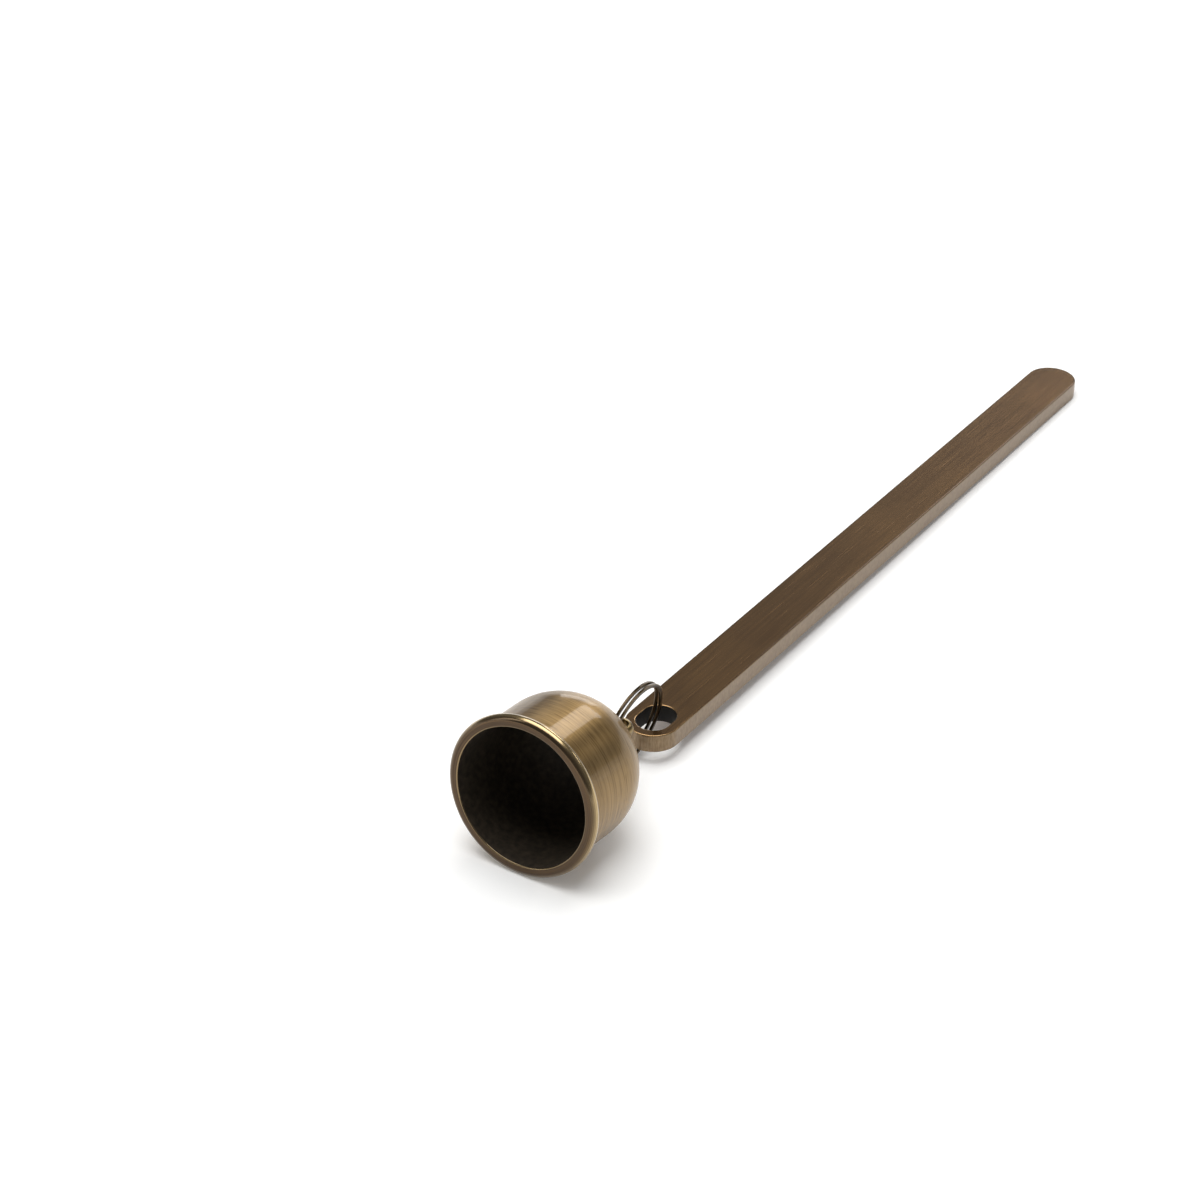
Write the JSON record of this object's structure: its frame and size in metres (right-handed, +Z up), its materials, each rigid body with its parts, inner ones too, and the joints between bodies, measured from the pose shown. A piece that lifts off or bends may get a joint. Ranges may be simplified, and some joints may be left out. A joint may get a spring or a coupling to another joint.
{
  "type": "candle snuffer",
  "caption": "Candle snuffer: a domed bell hung by a split pin and a split ring from a flat bar handle with a slotted end.",
  "frame": {"origin": "middle of the footprint's box, on the table that the snuffer lies on", "axes": "+X along the handle, away from the bell; +Z up; +Y across the handle"},
  "size_m": [0.2228, 0.0326, 0.0324],
  "materials": {
    "bar_brass": "brushed, darkened",
    "bell_brass": "turned and brushed, darkened",
    "ring_wire": "drawn flat wire, darkened",
    "pin_wire": "drawn half-round wire, darkened"
  },
  "bodies": {
    "handle": {"handle_bar": "bar_brass"},
    "ring": {"split_ring": "ring_wire"},
    "pin": {"split_pin": "pin_wire"},
    "bell": {"bell_cup": "bell_brass"}
  },
  "joints": [
    {"name": "ring_swing", "type": "hinge", "parent": "handle", "child": "ring", "pos_m": [-0.06756, 0.00145, 0.00469], "axis": [0, 1, 0], "range_deg": [-146, 42]},
    {"name": "bell_rock", "type": "hinge", "parent": "ring", "child": "pin", "pos_m": [-0.07928, 0, 0.01294], "axis": [0, 1, 0], "range_deg": [-5, 46]},
    {"name": "bell_swivel", "type": "hinge", "parent": "pin", "child": "bell", "pos_m": [-0.08207, 0, 0.01325], "axis": [0.9938, 0, -0.1115], "continuous": true}
  ]
}
